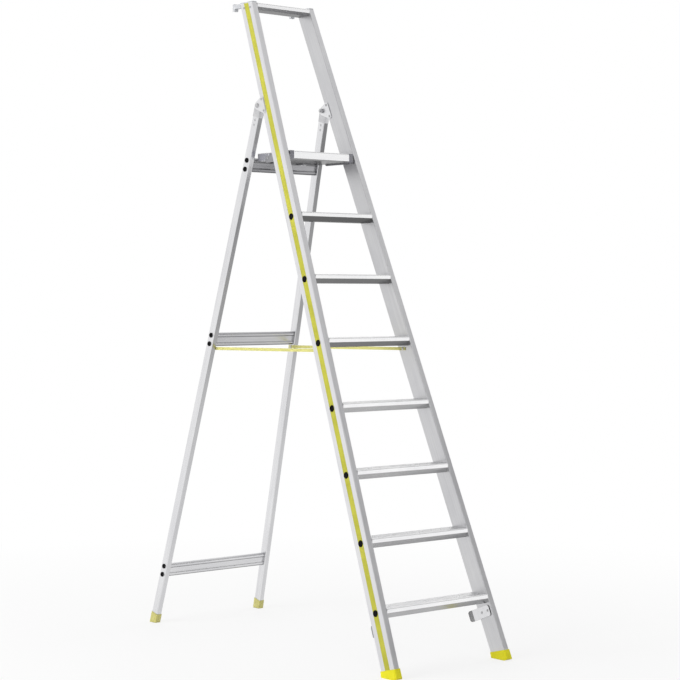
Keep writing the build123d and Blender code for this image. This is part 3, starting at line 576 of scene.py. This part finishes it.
heads = {
    "segments": 48,
    "rim": 0.98,  # share of the largest radius from which a point counts as the rim
    "tallest": 0.6,  # a head is lower than this share of its radius
    "plug": [
        (0, 0.42, 0), (0.50, 0.42, 0), (0.58, 0.60, 0), (0.66, 0.97, 0), (0.76, 1.0, 0), (0.90, 0.80, 0),
        (0.98, 0.40, 0), (1.0, 0.10, 0), (1.0, 0, 0), (0.60, -0.5, 0), (0, -0.5, 0),
    ],
    "rivet": [
        (0, 0.50, 0), (0.17, 0.52, 0), (0.20, 0.90, 0), (0.28, 1.0, 0), (0.50, 0.90, 0), (0.74, 0.64, 0),
        (0.92, 0.30, 0), (1.0, 0.06, 0), (1.0, 0, 0), (0.55, -0.3, 0), (0, -0.3, 0),
    ],
    "screw": [
        (0, 0.30, 6), (0.36, 0.30, 6), (0.36, 0.94, 6), (0.46, 1.0, 0), (0.70, 0.92, 0), (0.88, 0.66, 0),
        (0.98, 0.30, 0), (1.0, 0.05, 0), (1.0, 0, 0), (0.55, -0.3, 0), (0, -0.3, 0),
    ],
}
fasteners = {
    "treadTubePlugs": ("tread_plugs", "plug"),
    "crossbarTubePlugs": ("crossbar_plugs", "plug"),
    "hingePlateRivets": ("hinge_rivets", "rivet"),
    "legKnuckleRivets": ("knuckle_rivets", "rivet"),
    "legGuideRivets": ("guide_rivets", "rivet"),
    "platformHookRivets": ("hook_rivets", "rivet"),
    "topRailScrews": ("top_rail_screws", "screw"),
    "platformRailScrews": ("platform_screws", "screw"),
    "frontStrapScrews": ("front_strap_screws", "screw"),
    "rearStrapScrews": ("rear_strap_screws", "screw"),
}


def ringRadius(radius, sides, angle):
    if not sides:
        return radius
    step = 2 * math.pi / sides
    return radius / math.cos((angle + step / 2) % step - step / 2)


def turnHead(mesh, seat, axis, radius, height, profile):
    facing = axis.to_track_quat("Z", "Y")
    count = heads["segments"]
    last = None
    for reach, rise, sides in profile:
        ring = []
        for step in range(count if reach else 1):
            angle = 2 * math.pi * step / count
            away = ringRadius(reach * radius, sides, angle)
            place = Vector((away * math.cos(angle), away * math.sin(angle), rise * height))
            ring.append(mesh.verts.new(seat + facing @ place))
        for i in range(count) if last else ():
            j = (i + 1) % count
            corners = [last[i % len(last)], last[j % len(last)], ring[j % len(ring)], ring[i % len(ring)]]
            mesh.faces.new(list(dict.fromkeys(corners)))
        last = ring


def headsOf(node):  # seat, outward axis, radius and height of each fastener's head
    found = []
    for island in islandsOf(node):
        middle, spreads, directions = mainAxes(island)
        longest = spreads[0] - spreads[1] > spreads[1] - spreads[2]
        axis = directions[0] if longest else directions[2]
        offsets = island - np.array(middle)
        along = offsets @ np.array(axis)
        away = np.linalg.norm(offsets - np.outer(along, axis), axis=1)
        rim = along[away > heads["rim"] * away.max()]
        for way in (1, -1):
            far = (along * way).max()
            height = far - (rim * way).max()
            if height < heads["tallest"] * away.max():
                found.append((middle + axis * way * (far - height), axis * way, away.max(), height))
    return found


for name, (node, kind) in fasteners.items():
    mesh = bmesh.new()
    places = headsOf(node)
    for seat, axis, radius, height in places:
        turnHead(mesh, seat, axis, radius, height, heads[kind])
    rideWithNode(newPiece(name, mesh, finishFor(node), node), node)
    print(name, "turned:", len(places))

# Grey pieces on the platform deck: plugs that close its open ends and a cap on each front corner

deckPlugs = {
    "wall": 0.0024,
    "chambers": 3,
    "recess": 0.0008,  # how far a plug's face lies inside the deck's end
    "depth": 0.006,
    "corner": 0.0025,
    "cornerSteps": 6,
    "undercut": 0.006,  # the front chamber's floor is higher
    "rimIn": 0.0014,  # a plug's face is smaller than its body by this much all round
    "rimDepth": 0.0008,
}
deckCaps = {
    "back": 0.034,
    "width": 0.018,
    "proud": 0.0009,
    "face": 0.029,
    "undercut": 0.010,
    "round": 0.0025,
    "bulge": 0.3,  # where the rounding's middle point lies
}


def deckSides():  # gives half of the deck's width at any place from front to back
    points = pointsOf("platform_deck")
    low, high = points[:, 1].min(), points[:, 1].max()
    front = points[points[:, 1] < low + deckPlugs["wall"]][:, 0].max()
    rear = points[points[:, 1] > high - deckPlugs["wall"]][:, 0].max()
    return lambda y: front + (rear - front) * (y - low) / (high - low)


def rideWithDeck(piece):
    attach(piece, "platform")


def roundedOutline(low, high, corner):  # points of a rounded rectangle, counter-clockwise
    outline = []
    middles = ((high[0] - corner, high[1] - corner), (low[0] + corner, high[1] - corner))
    middles += ((low[0] + corner, low[1] + corner), (high[0] - corner, low[1] + corner))
    for quarter, (u, v) in enumerate(middles):
        for step in range(deckPlugs["cornerSteps"] + 1):
            angle = math.pi / 2 * (quarter + step / deckPlugs["cornerSteps"])
            outline.append((u + corner * math.cos(angle), v + corner * math.sin(angle)))
    return outline


def chamberBox(chamber):  # lowest and highest (y, z) of one of the deck's chambers
    low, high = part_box("platform_deck")
    wall, count = deckPlugs["wall"], deckPlugs["chambers"]
    pitch = (high[1] - low[1]) / count
    start = low[1] + pitch * chamber + (wall if chamber == 0 else wall / 2)
    end = low[1] + pitch * (chamber + 1) - (wall if chamber == count - 1 else wall / 2)
    foot = low[2] + wall + (deckPlugs["undercut"] if chamber == 0 else 0)
    return (start, foot), (end, high[2] - wall)


def makeDeckPlugs():
    halfWidth = deckSides()
    layers = ((0, deckPlugs["rimIn"]), (deckPlugs["rimDepth"], 0), (deckPlugs["depth"], 0))
    mesh = bmesh.new()
    for side in (-1, 1):
        for chamber in range(deckPlugs["chambers"]):
            (start, foot), (end, top) = chamberBox(chamber)
            rings = []
            for inward, shrink in layers:
                lowest, highest = (start + shrink, foot + shrink), (end - shrink, top - shrink)
                ring = []
                for y, z in roundedOutline(lowest, highest, deckPlugs["corner"]):
                    reach = halfWidth(y) - deckPlugs["recess"] - inward
                    ring.append(mesh.verts.new((side * reach, y, z)))
                rings.append(ring)
            mesh.faces.new(rings[0])
            for ring, other in zip(rings, rings[1:]):
                bridge(mesh, ring, other)
            mesh.faces.new(rings[-1])
    rideWithDeck(newPiece("deckChamberPlugs", mesh, finishes["deckCap"]))


def capLoop(proud):  # (y, z) points over the deck's top, nose and underside
    low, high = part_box("platform_deck")
    back, nose, top, sole = low[1] + deckCaps["back"], low[1] - proud, high[2] + proud, low[2] - proud
    soft = deckCaps["round"]
    eased = soft * deckCaps["bulge"]
    return [
        (back, top),
        (nose + soft, top),
        (nose + eased, top - eased),
        (nose, top - soft),
        (nose, high[2] - deckCaps["face"]),
        (low[1] + deckCaps["undercut"], sole),
        (back, sole),
    ]


def makeDeckCaps():  # a lip over the front edge at each end of the deck
    halfWidth = deckSides()
    outline = capLoop(deckCaps["proud"]) + capLoop(0.0)[::-1]
    count = len(outline)
    mesh = bmesh.new()
    for side in (-1, 1):
        rings = []
        for inward in (0.0, deckCaps["width"]):
            rings.append([mesh.verts.new((side * (halfWidth(y) - inward), y, z)) for y, z in outline])
        bridge(mesh, *rings)
        for ring in rings:
            for i in range(count // 2 - 1):
                mesh.faces.new((ring[i], ring[i + 1], ring[count - 2 - i], ring[count - 1 - i]))
    rideWithDeck(newPiece("deckCornerCaps", mesh, finishes["deckCap"]))


makeDeckPlugs()
makeDeckCaps()
print("deck ends closed")

# Spreader straps: webbing with sewn-back ends

webbing = {
    "width": 0.012,
    "thickness": 0.0014,
    "single": 0.55,  # share of that thickness where the webbing isn't sewn double
    "lap": 0.046,  # sewn-back end
    "segments": 120,
    "dark": (0.56, 0.53, 0.14),
    "light": (0.78, 0.75, 0.30),
    "places": (0.1, 0.8),
    "rough": 0.85,
    "yarns": 7,  # ribs across the width
    "pick": 0.0022,
    "bump": 0.6,
    "depth": 0.0004,
}


def wovenFinish(name, origin, along, across):  # ribs along the strap crossed by fine picks
    material, tree, shader = newFinish(name, Roughness=webbing["rough"])
    place = tree.nodes.new("ShaderNodeVectorMath")
    place.operation = "SUBTRACT"
    place.inputs[1].default_value = origin
    wire(tree, coordinates(tree, "Object"), place)
    laid = turned(tree, place, Matrix((across, along.cross(across), along)).to_euler())
    split = wire(tree, laid, tree.nodes.new("ShaderNodeSeparateXYZ"))

    def wave(output, period):
        phase = arithmetic(tree, "MULTIPLY", split.outputs[output], 2 * math.pi / period)
        return arithmetic(tree, "SINE", phase)

    ribs = wave("X", webbing["width"] / webbing["yarns"])
    weave = arithmetic(tree, "MULTIPLY", ribs, wave("Z", webbing["pick"]))
    height = spread(tree, weave, 0.0, 1.0, -1.0, 1.0)
    tone = between(tree, height, webbing["places"], webbing["dark"], webbing["light"])
    wire(tree, tone, shader, "Base Color")
    bumpFrom(tree, height, webbing["bump"], webbing["depth"], shader)
    return material


def makeStrap(side):
    node = side + "_strap"
    middle, _, (along, across, face) = mainAxes(pointsOf(node))
    along = along if along.y > 0 else -along
    reach = (pointsOf(node) - np.array(middle)) @ np.array(along)
    half = (reach.max() - reach.min()) / 2
    middle += along * (reach.max() + reach.min()) / 2
    mesh = bmesh.new()
    last = None
    for step in range(webbing["segments"] + 1):
        place = -half + 2 * half * step / webbing["segments"]
        doubled = half - abs(place) < webbing["lap"]
        thick = webbing["thickness"] * (1.0 if doubled else webbing["single"])
        ring = []
        for u, v in ((-1, -1), (0, -1), (1, -1), (1, 1), (0, 1), (-1, 1)):
            offset = across * (u * webbing["width"] / 2) + face * (v * thick / 2)
            ring.append(mesh.verts.new(middle + along * place + offset))
        if last:
            bridge(mesh, last, ring)
        else:
            mesh.faces.new(ring)
        last = ring
    mesh.faces.new(last)
    material = wovenFinish(side + " strap webbing", middle, along, across)
    strap = newPiece(side + "SpreaderStrap", mesh, material, node)
    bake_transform(strap)


for side in ("left", "right"):
    makeStrap(side)
print("straps made")

# Floor, light and camera

floorLook = {
    "size": 60.0,
    "colour": (0.80, 0.80, 0.80, 1),
    "rough": 0.9,
    "glow": 0.78,  # share of plain white in the floor beside the ladder
    "fadeStart": 0.9,  # metres from the ladder's middle where the floor starts turning to plain white
    "fadeEnd": 3.2,
}
room = {
    "grey": 0.45,  # what the white surroundings give as light
    "ceiling": [(0.22, 1.0), (0.30, 0.08), (0.37, 0.08), (0.46, 0.62), (0.60, 0.75)],  # sine of height, tone
    "ceilingBack": (-0.25, 0.15),  # from front to back, where the ceiling turns to the back wall
    "backTone": 1.0,
}
lamps = {
    "key": {"place": (-4.6, 0.6, 3.4), "size": (3.5, 3.5), "power": 170.0},
    "fill": {"place": (-3.4, -5.2, 3.6), "size": (3.0, 3.0), "power": 60.0},
    "back": {"place": (2.6, 4.8, 4.2), "size": (4.0, 4.0), "power": 90.0},
    "side": {"place": (4.9, 0.5, 3.0), "size": (3.0, 3.0), "power": 80.0},
}


def whiteRays(tree):  # 1 for rays that see the white surroundings: camera, glossy and transmission
    seen = tree.nodes.new("ShaderNodeLightPath").outputs
    either = arithmetic(tree, "MAXIMUM", seen["Is Camera Ray"], seen["Is Glossy Ray"])
    return arithmetic(tree, "MAXIMUM", either, seen["Is Transmission Ray"])


def makeFloor():  # pale and shaded near the ladder, plain white further out
    mesh = bmesh.new()
    bmesh.ops.create_grid(mesh, x_segments=1, y_segments=1, size=floorLook["size"] / 2)
    data = bpy.data.meshes.new("floor")
    mesh.to_mesh(data)
    mesh.free()
    floor = bpy.data.objects.new("floor", data)
    bpy.context.scene.collection.objects.link(floor)
    material, tree, shader = newFinish("floor", Roughness=floorLook["rough"], Specular_IOR_Level=0.0)
    shader.inputs["Base Color"].default_value = floorLook["colour"]
    data.materials.append(material)
    glow = put(tree, "ShaderNodeEmission", Color=(1, 1, 1, 1), Strength=1.0)
    away = tree.nodes.new("ShaderNodeVectorMath")
    away.operation = "LENGTH"
    wire(tree, tree.nodes.new("ShaderNodeNewGeometry").outputs["Position"], away)
    fade = floorLook["fadeStart"], floorLook["fadeEnd"]
    share = spread(tree, away.outputs["Value"], floorLook["glow"], 1.0, *fade)
    mixed = tree.nodes.new("ShaderNodeMixShader")
    wire(tree, arithmetic(tree, "MULTIPLY", share, whiteRays(tree)), mixed)
    wire(tree, shader, mixed, 1)
    wire(tree, glow, mixed, 2)
    wire(tree, mixed, tree.nodes["Material Output"])


def makeWorld():  # white to the eye, white walls under a dim ceiling to metal, grey as a light
    world = bpy.data.worlds.new("studio")
    bpy.context.scene.world = world
    world.use_nodes = True
    tree = world.node_tree
    ground = tree.nodes["Background"]
    ground.inputs["Color"].default_value = (1, 1, 1, 1)
    facing = wire(tree, coordinates(tree, "Generated"), tree.nodes.new("ShaderNodeSeparateXYZ"))
    walls = ramp(tree, facing.outputs["Z"], [(height, grey(tone)) for height, tone in room["ceiling"]])
    behind = spread(tree, facing.outputs["Y"], 0.0, room["backTone"], *room["ceilingBack"])
    toEye = tree.nodes.new("ShaderNodeLightPath").outputs["Is Camera Ray"]
    seen = arithmetic(tree, "MAXIMUM", arithmetic(tree, "MAXIMUM", walls, behind), toEye)
    level = spread(tree, whiteRays(tree), room["grey"], 1.0)
    wire(tree, seen, level, "To Max")
    wire(tree, level, ground, "Strength")


def makeLamp(name, look):
    light = bpy.data.lights.new(name, "AREA")
    light.shape = "RECTANGLE"
    light.size, light.size_y = look["size"]
    light.energy = look["power"]
    lamp = bpy.data.objects.new(name, light)
    lamp.location = look["place"]
    aim = (cadLow + cadHigh) / 2 - lamp.location
    lamp.rotation_euler = aim.to_track_quat("-Z", "Y").to_euler()
    lamp.visible_glossy = False  # metal mirrors the room, not the lamps
    bpy.context.scene.collection.objects.link(lamp)


viewpoint = {
    "place": (-4.5987, -5.5649, 1.3596),
    "heading": 40.187,  # degrees to the right of straight on
    "tilt": -1.392,
    "lens": 97.23,  # millimetres, as the sensor is
    "sensor": 36.0,
}


def makeCamera():
    camera = bpy.data.objects.new("camera", bpy.data.cameras.new("camera"))
    camera.data.lens = viewpoint["lens"]
    camera.data.sensor_width = viewpoint["sensor"]
    camera.location = viewpoint["place"]
    heading, tilt = math.radians(viewpoint["heading"]), math.radians(viewpoint["tilt"])
    look = Vector((math.sin(heading) * math.cos(tilt), math.cos(heading) * math.cos(tilt), math.sin(tilt)))
    camera.rotation_euler = look.to_track_quat("-Z", "Y").to_euler()
    bpy.context.scene.collection.objects.link(camera)
    bpy.context.scene.camera = camera


makeFloor()
makeWorld()
for name, look in lamps.items():
    makeLamp(name, look)
makeCamera()
bpy.context.scene.view_settings.view_transform = "Standard"
print("studio set")
